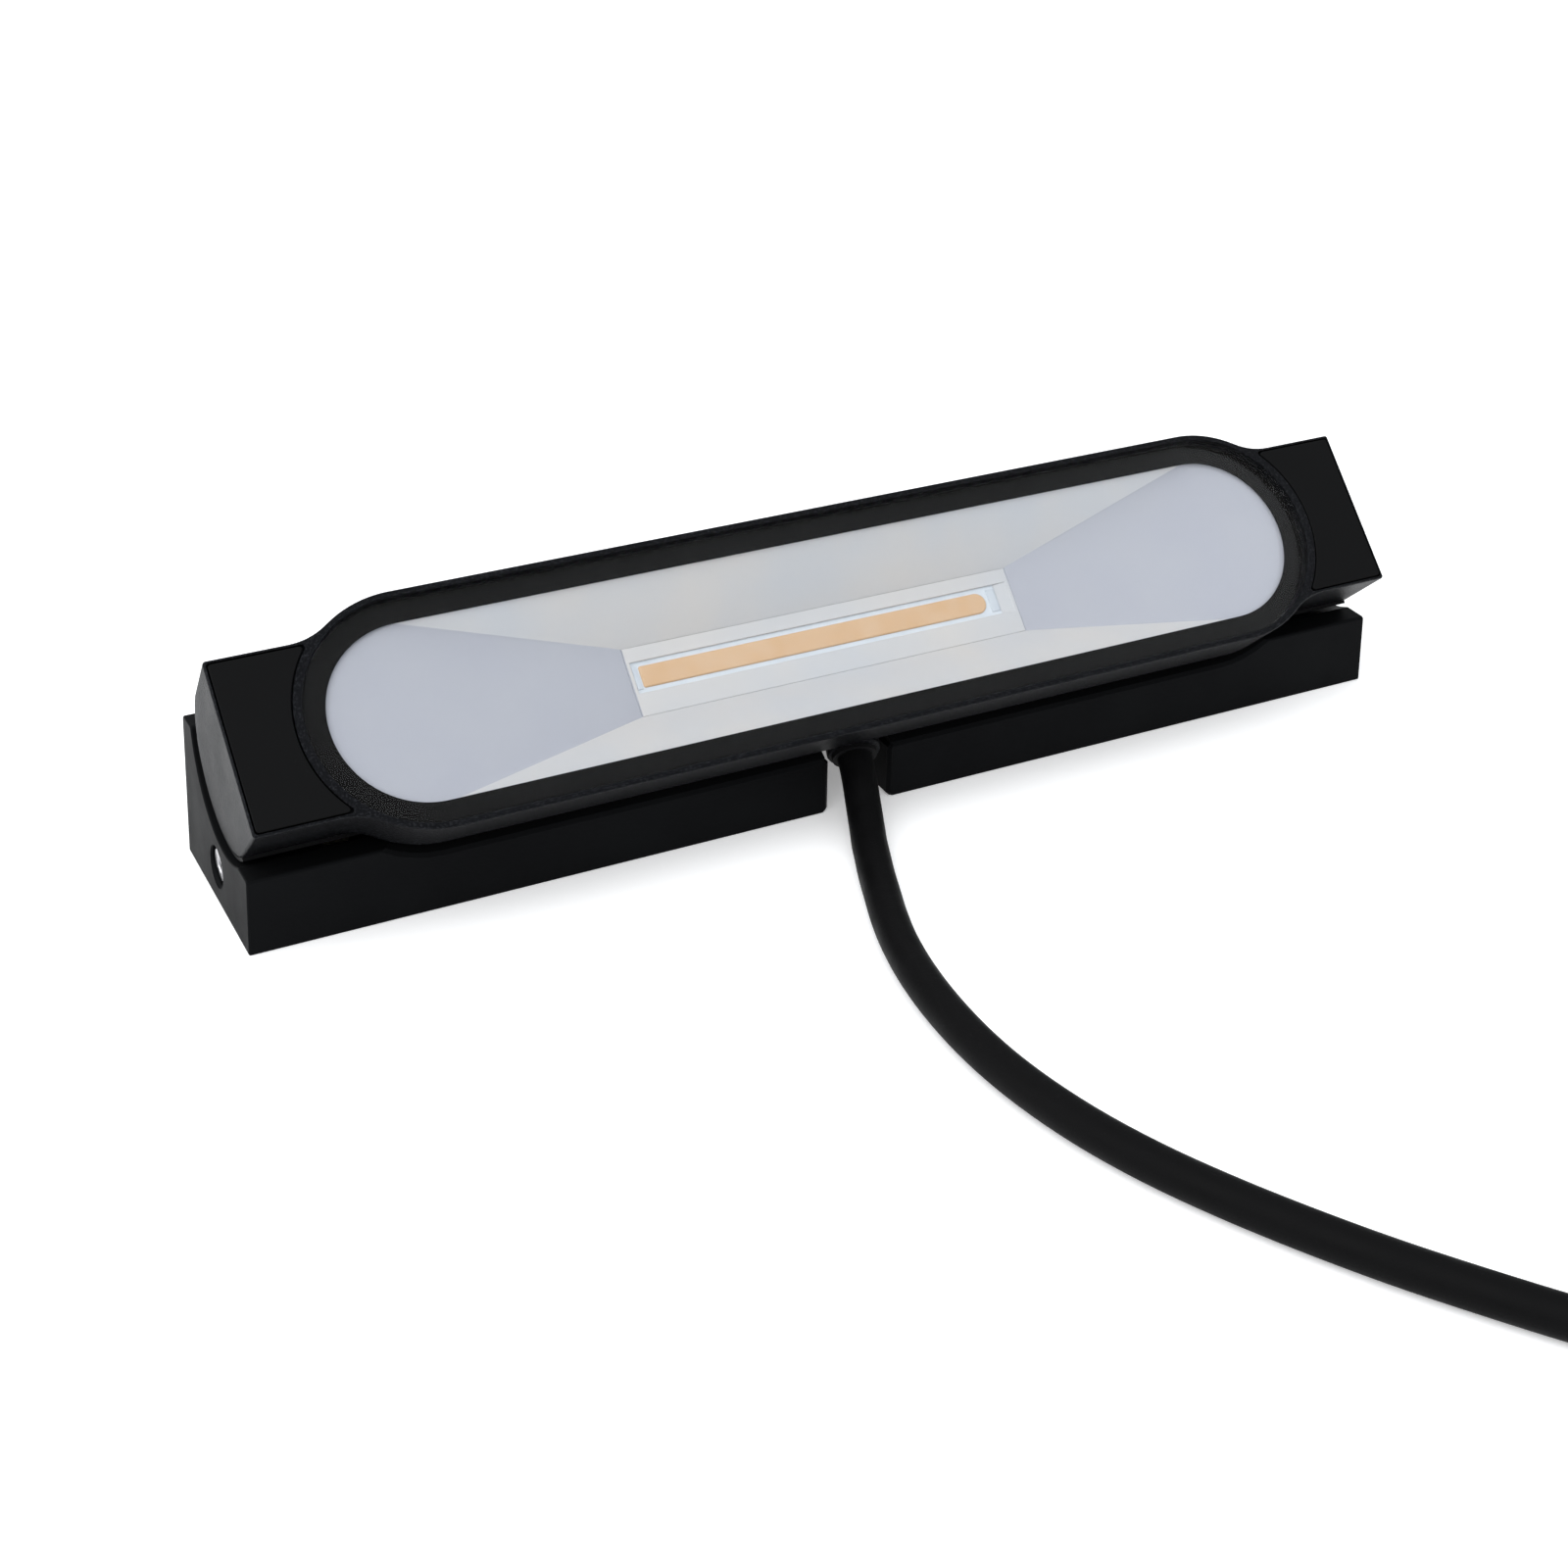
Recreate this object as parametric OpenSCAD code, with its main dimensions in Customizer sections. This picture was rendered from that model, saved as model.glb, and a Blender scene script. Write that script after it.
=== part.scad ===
// Picture light: a tilting light head in the cradle of a flat mounting base. Millimetres, +Z up.
// Origin: centre of the base's flat underside. +X runs along the lamp, the light leans towards -Y.

/* [Base] */
// length of the base at its underside
base_length = 250; // [200:1:400]
// depth of the base, front to back
base_depth = 41; // [36:0.5:60]
// height of the wall behind the head
back_height = 29.5; // [26:0.5:40]
// height of the wall in front of the head
front_height = 15.5; // [13:0.1:20]
// height of that wall in the recess below the ring
recess_height = 11.9; // [10:0.1:16]
// rise of the recess's floor towards the cradle, degrees
recess_rise = 28; // [10:1:40]
// inward lean of the two end faces, degrees
end_draft = 3.7; // [0:0.1:6]
// radius of the cradle the head sits in
cradle_r = 21.4; // [19:0.1:30]
// height of the cradle's lowest line
cradle_floor = 13.5; // [12:0.1:20]
// wall of the base casting
base_wall = 2.5; // [2:0.1:4]
// thickness of the two end walls of the base
end_wall = 7; // [5:0.5:10]
// width of the cable notch in the front wall
notch_w = 13.4; // [11:0.1:20]
// depth of the cable notch from the front
notch_depth = 27.5; // [20:0.5:32]

/* [Mounting] */
// thickness of the steel mounting plate
plate_t = 2; // [1.5:0.5:3]
// distance between the two slotted holes
slot_spacing = 120; // [80:1:200]
// width of a slotted hole
slot_w = 4.5; // [4:0.1:6]
// length of a slotted hole
slot_len = 14; // [8:1:20]
// height of the two end screws above the underside
end_screw_z = 7.6; // [6:0.1:10]
// thread size of the end screws
end_screw_d = 4; // [3:0.5:5]

/* [Head] */
// angle of the light, 0 is straight up, 90 straight forward
head_tilt = 44; // [0:1:46]
// position of the tilt axis, front to back
pivot_y = -6; // [-8:0.1:0]
// height of the tilt axis
pivot_z = 31; // [29:0.1:35]
// length of the head, ear to ear
head_length = 246.2; // [200:0.1:396]
// height of an ear at the front face
ear_h = 33.8; // [30:0.1:40]
// radius of the arc back
arc_r = 16.3; // [14:0.1:20]
// distance of the front face from the tilt axis
front_z = 11.5; // [10:0.1:15]
// depth of the flat side below which the arc begins
side_z = -3.1; // [-5:0.1:0]
// outer radius of the ring around the window
ring_r = 23.2; // [22:0.1:26]
// half of the straight length of the ring
ring_half = 86.7; // [60:0.1:160]
// how far the ring's back face lies behind the tilt axis
ring_back = 1; // [0:0.1:2]
// radius of the hollow where the ring flows into an ear
neck_r = 14; // [8:0.5:20]

/* [Optics] */
// radius of the glass at its ends
glass_r = 21.8; // [20:0.1:25]
// thickness of the glass
glass_t = 1.8; // [1.5:0.1:3]
// radius of the clear window at its ends
window_r = 17.5; // [15:0.1:20]
// length of the slot in the reflector's floor
led_slot_l = 84.5; // [60:0.5:160]
// width of the slot in the reflector's floor
led_slot_w = 6.5; // [5:0.1:10]
// length of the glowing strip
phosphor_l = 76.3; // [50:0.1:150]
// width of the glowing strip
phosphor_w = 4.4; // [3:0.1:6]

/* [Cord] */
// outer diameter of the rubber cord
cord_d = 7; // [5:0.5:9]
// radius of the coil, to the middle of its turns
coil_r = 36; // [35:1:42]
// radius of the bundle that the turns form, to the middle of the cord
bundle_r = 7.8; // [7.5:0.1:9]

/* [Hidden] */
eps = 0.01;
half_base = base_length / 2;
front_y = -base_depth / 2;
back_y = base_depth / 2;
cradle_z = cradle_floor + cradle_r;
side_y = sqrt(arc_r * arc_r - side_z * side_z);
liner_r = arc_r + 0.7;
rail_x = 104;
rail_in = 22.2;
rail_out = 24.2;
rail_angle = -14;
cord_r = cord_d / 2;
boss_z = -4.5;
boss_end = -23.4;
boss_x = -0.8;
boss_r = 5.4;
boss_turn = 10;
boss_swing = 12;
rim_t = 0.9;
// way out of the boss, and the place where the cord leaves the grommet
cord_dir = [-sin(boss_swing), -cos(boss_swing) * cos(head_tilt - boss_turn),
            -cos(boss_swing) * sin(head_tilt - boss_turn)];
cord_start = [boss_x, pivot_y + boss_end * cos(head_tilt) - boss_z * sin(head_tilt),
              pivot_z + boss_end * sin(head_tilt) + boss_z * cos(head_tilt)] + rim_t * cord_dir;
coil_centre = [82, -218, 0];
coil_h = 2 * bundle_r + cord_d;
// the cord from the lamp over the floor to the coil
floor_route = [[-3.3, -28.2, 6.3], [-4.7, -32, 4.8], [-6.2, -35.8, 3.9], [-7.9, -39.8, 3.5],
    [-9.7, -44.4, 3.5], [-11.9, -50, 3.5], [-14.4, -57, 3.5], [-17, -64.5, 3.5], [-19.4, -73, 3.5],
    [-21.3, -83, 3.5], [-22.4, -94.5, 3.5], [-22.4, -107, 3.5], [-21, -119.5, 3.5],
    [-18, -132.5, 3.5], [-13.6, -145, 3.5], [-8, -157, 3.5], [-1.4, -169, 3.5], [6, -181, 3.5],
    [14, -192.5, 3.5], [22.6, -204, 3.5], [32.4, -215.8, 3.5], [42.8, -227.8, 3.5],
    [53.9, -240.5, 3.5]];
cord_route = concat([cord_start, cord_start + 4.5 * cord_dir], floor_route);
// the cord from the top of the coil down to the connector
tail_route = [[123, -229.2, 7], [125.6, -219.8, 7.2], [127, -210, 7.5], [127.1, -200, 7.8],
    [126, -190, 8], [124, -180, 8], [121.4, -170, 8]];
plug_at = [121.4, -170, 8];
plug_turn = 105.6;

// places the head's own frame: X along the lamp, Y up the slope, Z out of the front face
module in_head() {
    translate([0, pivot_y, pivot_z]) rotate([head_tilt, 0, 0]) children();
}

// the cable boss's own frame, in the head: its end face at the origin, the way out along -Y
module at_boss() {
    translate([boss_x, boss_end, boss_z]) rotate([-boss_turn, 0, 0]) rotate([0, 0, -boss_swing])
        children();
}

// pushes a drawing in Y and Z along X, centred
module along_x(length) {
    rotate([90, 0, 90]) linear_extrude(height = length, center = true) children();
}

// a round bar along X between two X positions
module bar_x(r, x0, x1) {
    translate([x0, 0, 0]) rotate([0, 90, 0]) cylinder(r = r, h = x1 - x0);
}

// a round bar along Y between two Y positions
module bar_y(r, y0, y1) {
    translate([0, y0, 0]) rotate([-90, 0, 0]) cylinder(r = r, h = y1 - y0);
}

// a block given by its two corners
module block(a, b) {
    translate(a) cube(b - a);
}

// a slab with two round ends
module stadium(r, z0, z1, half = ring_half) {
    translate([0, 0, z0]) linear_extrude(height = z1 - z0) {
        square([2 * half, 2 * r], center = true);
        for (s = [-1, 1]) translate([s * half, 0]) circle(r = r);
    }
}

// part of a ring about X, its angles counted from straight down towards +Y
module sector(r0, r1, x0, x1, a0, a1) {
    rotate([90, 0, 90]) rotate([0, 0, a0 - 90]) rotate_extrude(angle = a1 - a0)
        translate([r0, x0]) square([r1 - r0, x1 - x0]);
}

// socket head screw pointing along -Z, its head's underside at z = 0
module socket_screw(d, head_d, head_h, length, socket) {
    difference() {
        union() {
            translate([0, 0, -length]) cylinder(d = d, h = length);
            cylinder(d = head_d, h = head_h);
        }
        translate([0, 0, head_h * 0.45]) cylinder(d = socket, h = head_h, $fn = 6);
    }
}

function unit(v) = v / norm(v);
function tangent(p, i) =
    unit(p[min(i + 1, len(p) - 1)] - p[max(i - 1, 0)]);
function side_of(t) = unit(cross(t, [0, 0, 1]));
function ring_at(p, i, r, n) = let (t = i == 1 ? tangent(p, 0) : tangent(p, i), s = side_of(t),
    u = cross(s, t)) [for (k = [0:n - 1]) p[i] + r * (cos(360 * k / n) * s + sin(360 * k / n) * u)];

// a round tube swept along a list of points
module swept(p, r, n = 12) {
    points = [for (i = [0:len(p) - 1]) each ring_at(p, i, r, n)];
    last = (len(p) - 1) * n;
    sides = [for (i = [0:len(p) - 2], k = [0:n - 1])
        [i * n + k, i * n + (k + 1) % n, (i + 1) * n + (k + 1) % n, (i + 1) * n + k]];
    first_cap = [[for (k = [n - 1:-1:0]) k]];
    last_cap = [[for (k = [0:n - 1]) last + k]];
    polyhedron(points = points, faces = concat(sides, first_cap, last_cap), convexity = 6);
}

// ---- base ----

module cradle_cut(r) {
    translate([0, pivot_y, cradle_z]) bar_x(r, -half_base - 1, half_base + 1);
}

module base_cavity() {
    inside = half_base - end_wall;
    difference() {
        union() {
            for (s = [-1, 1])
                block([s > 0 ? notch_w / 2 + base_wall : -inside, front_y + base_wall, -1],
                      [s > 0 ? inside : -notch_w / 2 - base_wall, back_y - base_wall, 27]);
            block([-20, front_y + notch_depth + base_wall, -1], [20, back_y - base_wall, 27]);
        }
        cradle_cut(cradle_r + base_wall);
        block([-half_base, front_y, recess_height - base_wall], [half_base, pivot_y, 30]);
    }
}

module base_housing() {
    color("#151518") difference() {
        block([-half_base, front_y, 0], [half_base, back_y, back_height]);
        cradle_cut(cradle_r);
        block([-half_base - 1, front_y - 1, front_height], [half_base + 1, pivot_y, 40]);
        // recess that follows the ring of the head
        translate([0, front_y, recess_height]) rotate([90 + recess_rise, 0, 0])
            translate([0, ring_r, 0]) stadium(ring_r, -12, 8);
        for (s = [-1, 1])
            translate([s * half_base, 0, 0]) rotate([0, -s * end_draft, 0])
                translate([s * 10, 0, 15]) cube([20, base_depth + 2, 50], center = true);
        base_cavity();
        block([-notch_w / 2, front_y - 1, -1], [notch_w / 2, front_y + notch_depth, 40]);
        for (s = [-1, 1]) {
            // slot for the web of the arc rail, and room for its flange
            translate([s * rail_x, pivot_y, pivot_z]) {
                sector(15, 23, -3.4, 3.4, -24, 42);
                sector(rail_in - 0.4, rail_out + 0.4, -6.4, 6.4, -27, 2);
            }
            translate([s * (half_base - 5.1), 0, end_screw_z])
                bar_x(4, s > 0 ? 0 : -8, s > 0 ? 8 : 0);
            translate([s * half_base, 0, end_screw_z]) bar_x(2.2, -8, 8);
        }
    }
}

module mounting_plate() {
    inside = half_base - end_wall;
    y1 = back_y - base_wall;
    color("#a8abad") difference() {
        union() {
            block([-inside, -y1, 0], [inside, y1, plate_t]);
            for (s = [-1, 1])
                block([s > 0 ? inside - 2.5 : -inside, -7, 0],
                      [s > 0 ? inside : -inside + 2.5, 7, 11]);
        }
        block([-notch_w / 2 - base_wall, -y1 - 1, -1],
              [notch_w / 2 + base_wall, front_y + notch_depth + base_wall, plate_t + 1]);
        for (s = [-1, 1]) {
            translate([s * inside, 0, end_screw_z]) bar_x(end_screw_d / 2, -4, 4);
            translate([s * slot_spacing / 2, 0, 0])
                stadium(slot_w / 2, -1, plate_t + 1, (slot_len - slot_w) / 2);
            translate([s * 88, 0, -1]) cylinder(d = slot_w, h = plate_t + 2);
        }
    }
}

module end_screws() {
    color("#c9ccd0") for (s = [-1, 1])
        translate([s * (half_base - 5.1), 0, end_screw_z]) rotate([0, s * 90, 0])
            socket_screw(end_screw_d, 7, 4, 5.9, 2.9);
}

module brake_blocks() {
    color("#d8d2c4") for (s = [-1, 1]) difference() {
        block([s * rail_x - 5, -12, plate_t], [s * rail_x + 5, 2, 9]);
        translate([0, pivot_y, pivot_z])
            bar_x(rail_out + 0.3, s * rail_x - 6, s * rail_x + 6);
    }
}

// ---- head ----

module neck_fills() {
    neck_x = ring_half + sqrt(pow(ring_r + neck_r, 2) - pow(ear_h / 2 + neck_r, 2));
    reach = ring_r / (ring_r + neck_r);
    touch = [ring_half + reach * (neck_x - ring_half), reach * (ear_h / 2 + neck_r)];
    for (s = [-1, 1], t = [-1, 1]) scale([s, t, 1]) translate([0, 0, -ring_back])
        linear_extrude(height = front_z + ring_back) difference() {
            polygon([[ring_half, 0], touch, [neck_x, ear_h / 2 + neck_r], [neck_x, 0]]);
            translate([neck_x, ear_h / 2 + neck_r]) circle(r = neck_r);
        }
}

module head_solid() {
    along_x(head_length) polygon([[-ear_h / 2, front_z], [ear_h / 2, front_z],
        [side_y, side_z], [-side_y, side_z]]);
    difference() {
        bar_x(arc_r, -head_length / 2, head_length / 2);
        block([-head_length, -20, side_z], [head_length, 20, 20]);
    }
    stadium(ring_r, -ring_back, front_z);
    neck_fills();
    // boss for the cable
    at_boss() bar_y(boss_r, 0, 12);
}

module cover_shape(gap, z0, z1, s) {
    linear_extrude_z(z0, z1) difference() {
        translate([s > 0 ? 100 : -122.4 - gap, -16.1 - gap]) square([22.4 + gap, 32.2 + 2 * gap]);
        translate([s * ring_half, 0]) circle(r = 23.9 - gap);
    }
}

module linear_extrude_z(z0, z1) {
    translate([0, 0, z0]) linear_extrude(height = z1 - z0) children();
}

module head_housing() {
    ledge_z = front_z - 2.9;
    color("#17181a") in_head() difference() {
        head_solid();
        stadium(glass_r + 0.1, ledge_z, front_z + 1);
        stadium(20.2, ledge_z - 1.2, front_z + 1);
        stadium(18.8, 1, front_z);
        difference() {
            bar_x(14.1, -108.5, 108.5);
            block([-110, -20, ledge_z - 1.2], [110, 20, 20]);
            // ribs that carry the heat spreader
            for (s = [-1, 1]) block([s * 57 - 2, -20, -20], [s * 57 + 2, 20, -5.7]);
            // posts that carry the driver board
            for (s = [-1, 1], t = [-1, 1])
                translate([s * 44, t * 7, -16]) cylinder(r = 2, h = 16 - 8.8);
        }
        for (s = [-1, 1]) {
            // pocket behind the cover plate
            cover_shape(0.25, front_z - 1.3, front_z + 1, s);
            block([s > 0 ? 112 : -120.6, -13, -8], [s > 0 ? 120.6 : -112, 13, front_z]);
            translate([s * rail_x, 0, 0]) rotate([rail_angle, 0, 0])
                translate([0, 0, -arc_r - 1]) cylinder(d = 3, h = 6);
        }
        // bore for the grommet, and room for its end behind the ring
        at_boss() {
            bar_y(4.5, -1, 13);
            bar_y(4.8, -6, 0);
        }
    }
}

module cover_plate(s) {
    color("#1c1d1f") in_head() cover_shape(0, front_z - 1.3, front_z - 0.05, s);
}

module arc_liner(s) {
    color("#2a2a2c") in_head() difference() {
        translate([s * 111.7, 0, 0]) sector(arc_r, liner_r, -11.2, 11.2, -76, 40);
        translate([s * rail_x, 0, 0]) sector(arc_r - 1, liner_r + 1, -3.2, 3.2,
            rail_angle - 9, rail_angle + 9);
    }
}

module arc_rail(s) {
    color("#8f9295") in_head() translate([s * rail_x, 0, 0]) difference() {
        union() {
            sector(arc_r, rail_in + eps, -3, 3, rail_angle - 8, rail_angle + 8);
            sector(rail_in, rail_out, -6, 6, rail_angle - 10, rail_angle + 10);
        }
        rotate([rail_angle, 0, 0]) translate([0, 0, -rail_out - 1])
            cylinder(d = 3, h = rail_out - arc_r + 3);
    }
}

module rail_screws() {
    color("#c9ccd0") in_head() for (s = [-1, 1])
        translate([s * rail_x, 0, 0]) rotate([rail_angle, 0, 0])
            translate([0, 0, -13.6]) socket_screw(3, 5.5, 2, 8.5, 2.3);
}

module front_glass() {
    color("#dfe8ea", 0.35) in_head()
        stadium(glass_r, front_z - 0.3 - glass_t, front_z - 0.3);
}

module glass_border() {
    z1 = front_z - 0.3 - glass_t;
    color("#0c0c0d") in_head() difference() {
        stadium(glass_r, z1 - 0.2, z1);
        stadium(window_r, z1 - 1, z1 + 1);
    }
}

module glass_gasket() {
    z1 = front_z - 0.5 - glass_t;
    color("#202022") in_head() difference() {
        stadium(glass_r, z1 - 0.6, z1);
        stadium(window_r + 0.3, z1 - 1, z1 + 1);
    }
}

module reflector_shape(grow, z_floor, z_rim) {
    hull() {
        stadium_ends(window_r + 0.2 + grow, z_rim);
        linear_extrude_z(z_floor, z_floor + eps)
            square([85.4 + 2 * grow, 13.8 + 2 * grow], center = true);
    }
}

module stadium_ends(r, z) {
    for (s = [-1, 1]) translate([s * ring_half, 0, z]) cylinder(r = r, h = eps, $fn = 96);
}

module reflector() {
    rim_z = front_z - 2.9;
    color("#f1f1ef") in_head() difference() {
        union() {
            stadium(20, rim_z - 1.2, rim_z);
            reflector_shape(0.9, 0, rim_z - 1.2);
        }
        reflector_shape(0, 1, rim_z);
        block([-led_slot_l / 2, -led_slot_w / 2, -1], [led_slot_l / 2, led_slot_w / 2, 4]);
    }
}

module led_board() {
    color("#e9ebe8") in_head() block([-46, -7, -1.2], [46, 7, 0]);
}

module led_phosphor() {
    left = -40.5;
    color("#f0a33c") in_head() linear_extrude_z(0, 0.4) {
        translate([left, -phosphor_w / 2]) square([phosphor_l - phosphor_w / 2, phosphor_w]);
        translate([left + phosphor_l - phosphor_w / 2, 0]) circle(d = phosphor_w);
    }
}

module led_pads() {
    color("#c7ccd0") in_head() {
        block([-42, -2.4, 0], [-40.8, 2.4, 0.2]);
        block([37.3, -2.4, 0], [40.9, 2.4, 0.2]);
    }
}

module thermal_pad() {
    color("#9aa7b0") in_head() block([-46, -7, -1.7], [46, 7, -1.2]);
}

module heat_spreader() {
    color("#b9bcbf") in_head() difference() {
        block([-61, -10, -5.7], [61, 10, -1.7]);
        for (s = [-1, 1]) {
            translate([49, s * 3, -8]) cylinder(r = 1.4, h = 10);
            for (t = [-1, 1]) translate([s * 57, t * 6, -8]) cylinder(r = 1.25, h = 10);
        }
    }
}

module spreader_screws() {
    color("#c9ccd0") in_head() for (s = [-1, 1], t = [-1, 1])
        translate([s * 57, t * 6, -1.7]) socket_screw(2.5, 4.5, 1.4, 4, 1.8);
}

module driver_board() {
    color("#2f5d3a") in_head() difference() {
        block([-52, -10.4, -8.8], [52, 10.4, -7.2]);
        for (s = [-1, 1], t = [-1, 1]) translate([s * 44, t * 7, -10]) cylinder(r = 1, h = 4);
    }
}

module driver_coil() {
    color("#8a5a2c") in_head() translate([-20, 0, -12.6]) difference() {
        cylinder(r = 5, h = 3.8);
        translate([0, 0, -1]) cylinder(r = 1.6, h = 3);
    }
}

module driver_capacitor() {
    color("#30343c") in_head() translate([22, 0, -11]) bar_x(2.2, -7, 7);
}

module driver_chips() {
    color("#1b1b1d") in_head() {
        block([-4, -3, -10.4], [4, 3, -8.8]);
        block([32, -3, -10.2], [38, 3, -8.8]);
        block([-38, -2.5, -10.2], [-31, 2.5, -8.8]);
    }
}

module board_screws() {
    color("#c9ccd0") in_head() for (s = [-1, 1], t = [-1, 1])
        translate([s * 44, t * 7, -7.2]) socket_screw(2, 3.6, 1.2, 1.6, 1.6);
}

module internal_leads() {
    color("#b5382c") in_head() for (s = [-1, 1]) {
        translate([49, s * 3, -7.2]) cylinder(r = 0.7, h = 6.6);
        translate([49, s * 3, -0.6]) sphere(r = 0.7);
        translate([0, s * 3, -0.6]) bar_x(0.7 - 0.1, 46, 49);
    }
}

module cable_grommet() {
    color("#1e1e20") in_head() at_boss() difference() {
        bar_y(4.5, -rim_t, 12);
        bar_y(cord_r, -rim_t - 1, 13);
    }
}

module cable_tail() {
    color("#1a1a1c") in_head() at_boss() bar_y(cord_r, -rim_t, 12.5);
}

// ---- cord ----

module cord() {
    color("#1a1a1c") swept(cord_route, cord_r);
}

module cord_coil() {
    color("#1a1a1c") translate(coil_centre) rotate_extrude()
        translate([coil_r, coil_h / 2]) circle(r = coil_h / 2);
}

module coil_tie() {
    color("#0f0f10") translate(coil_centre) rotate([0, 0, 130])
        translate([coil_r, 0, coil_h / 2]) difference() {
            bar_y(coil_h / 2 + 1.3, -3, 3);
            bar_y(coil_h / 2 + 0.3, -4, 4);
            block([-20, -5, -20], [20, 5, -coil_h / 2]);
        }
}

module cord_tail() {
    color("#1a1a1c") swept(tail_route, cord_r);
}

module at_plug() {
    translate(plug_at) rotate([0, 0, plug_turn]) rotate([0, 90, 0]) children();
}

module connector_body() {
    color("#141416") at_plug() {
        cylinder(r1 = 4.6, r2 = 6, h = 14);
        translate([0, 0, 14]) cylinder(r = 6, h = 20);
    }
}

module connector_nut() {
    color("#232326") at_plug() translate([0, 0, 22]) difference() {
        cylinder(r = 8, h = 18);
        translate([0, 0, -1]) cylinder(r = 6, h = 13);
        translate([0, 0, 11]) cylinder(r = 6.6, h = 9);
    }
}

module connector_pins() {
    color("#c8b070") at_plug() for (s = [-1, 1])
        translate([0, s * 2.4, 34]) cylinder(r = 0.9, h = 5);
}

base_housing();
mounting_plate();
end_screws();
brake_blocks();
head_housing();
cover_plate(-1);  // cover_plate_left
cover_plate(1);  // cover_plate_right
arc_liner(-1);  // arc_liner_left
arc_liner(1);  // arc_liner_right
arc_rail(-1);  // arc_rail_left
arc_rail(1);  // arc_rail_right
rail_screws();
front_glass();
glass_border();
glass_gasket();
reflector();
led_board();
led_phosphor();
led_pads();
thermal_pad();
heat_spreader();
spreader_screws();
driver_board();
driver_coil();
driver_capacitor();
driver_chips();
board_screws();
internal_leads();
cable_grommet();
cable_tail();
cord();
cord_coil();
coil_tie();
cord_tail();
connector_body();
connector_nut();
connector_pins();
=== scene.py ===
"""Picture light: its looks and fine shapes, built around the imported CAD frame.

Sizes below are in millimetres and a mesh is scaled to metres when it is made, apart from the
cord's route, which is in metres. The head is drawn in its own axes, as in the CAD: X along the
lamp, Y up the slope of the front, Z out of the front face.
"""

import math

import bmesh
import bpy
from mathutils import Matrix, Vector


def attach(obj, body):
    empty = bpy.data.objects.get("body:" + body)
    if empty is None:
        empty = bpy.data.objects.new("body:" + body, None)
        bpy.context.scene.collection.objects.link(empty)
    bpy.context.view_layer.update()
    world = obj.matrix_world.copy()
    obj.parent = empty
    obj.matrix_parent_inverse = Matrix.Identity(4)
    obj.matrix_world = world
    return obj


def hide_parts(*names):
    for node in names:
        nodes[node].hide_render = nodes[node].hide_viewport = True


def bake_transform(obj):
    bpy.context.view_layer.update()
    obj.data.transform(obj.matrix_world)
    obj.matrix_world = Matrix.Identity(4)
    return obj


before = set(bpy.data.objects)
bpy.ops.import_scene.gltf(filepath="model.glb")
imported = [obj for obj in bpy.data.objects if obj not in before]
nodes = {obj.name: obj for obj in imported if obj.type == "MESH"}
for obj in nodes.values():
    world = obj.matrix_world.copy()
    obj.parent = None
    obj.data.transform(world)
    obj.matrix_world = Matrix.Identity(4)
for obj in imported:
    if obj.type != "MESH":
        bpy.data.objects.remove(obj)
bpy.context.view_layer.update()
scene = bpy.context.scene

MM = 0.001

# camera, solved from the photo's straight edges and round-ended window (degrees, metres)
CAMERA_TURN, CAMERA_RISE, CAMERA_ROLL = -26.923, 30.108, 0.621
CAMERA_PLACE = (-0.20955, -0.40023, 0.25586)
CAMERA_LENS, SENSOR_WIDTH = 57.576, 36

# base
BASE_HALF = 125.0
BASE_FRONT, BASE_BACK = -20.5, 20.5
BACK_HEIGHT, FRONT_HEIGHT = 29.5, 15.5
RECESS_HEIGHT, RECESS_RISE = 11.9, math.radians(28)
BASE_WALL = 2.5
END_DRAFT = math.tan(math.radians(3.7))
CRADLE_R, CRADLE_Y, CRADLE_Z = 21.4, -6.0, 34.9
NOTCH_HALF, NOTCH_END = 6.7, 7.0
END_SCREW_Z = 7.6
END_WALL = 7.0
CAVITY_TOP = 27.0
RAIL_X = 104.0
WEB_HALF, FLANGE_HALF = 3.4, 6.4

# head
HEAD_TILT = math.radians(44)
PIVOT = Vector((0, -6, 31))
HEAD_HALF = 123.1
EAR_V = 16.9
FRONT_Z = 11.5
SIDE_Z = -3.1
ARC_R = 16.3
SIDE_V = math.sqrt(ARC_R**2 - SIDE_Z**2)
RING_R, RING_HALF = 23.2, 86.7
RING_BACK = -1.0
NECK_R = 14.0
GLASS_R, WINDOW_R = 21.8, 17.5
GLASS_TOP, GLASS_BOTTOM = 11.2, 9.4
BORDER_TOP, BORDER_BOTTOM = 9.38, 9.22
COVER_BACK, COVER_FRONT = 10.2, 11.44
BOSS_R = 5.4
BOSS_PLACE, BOSS_PITCH, BOSS_YAW = (-0.8, -23.4, -4.5), math.radians(-10), math.radians(-12)
NECK_X = RING_HALF + math.sqrt((RING_R + NECK_R) ** 2 - (EAR_V + NECK_R) ** 2)
TOUCH_X = RING_HALF + (NECK_X - RING_HALF) * RING_R / (RING_R + NECK_R)
ROUNDING = (90, 68, 45, 22, 0)

# reflector: steps round each fan and along each wall, half the floor, and half the back plate
FAN_STEPS, WALL_STEPS = 32, 40
FLOOR_X, FLOOR_Y = 42.7, 7.0
BACK_X, BACK_Y = 43.6, 7.8

# cord (metres, degrees)
CORD_R = 0.0035
COIL_CENTRE = (0.082, -0.218)
COIL_R, BUNDLE_R = 0.036, 0.0078
COIL_START, COIL_TURNS, COIL_STEP = 218.7, 5.35, 56.7

HEAD = Matrix.Translation(PIVOT) @ Matrix.Rotation(HEAD_TILT, 4, "X")
BOSS = HEAD @ Matrix.Translation(BOSS_PLACE) \
    @ Matrix.Rotation(BOSS_PITCH, 4, "X") @ Matrix.Rotation(BOSS_YAW, 4, "Z")


# ---- camera ----

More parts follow.
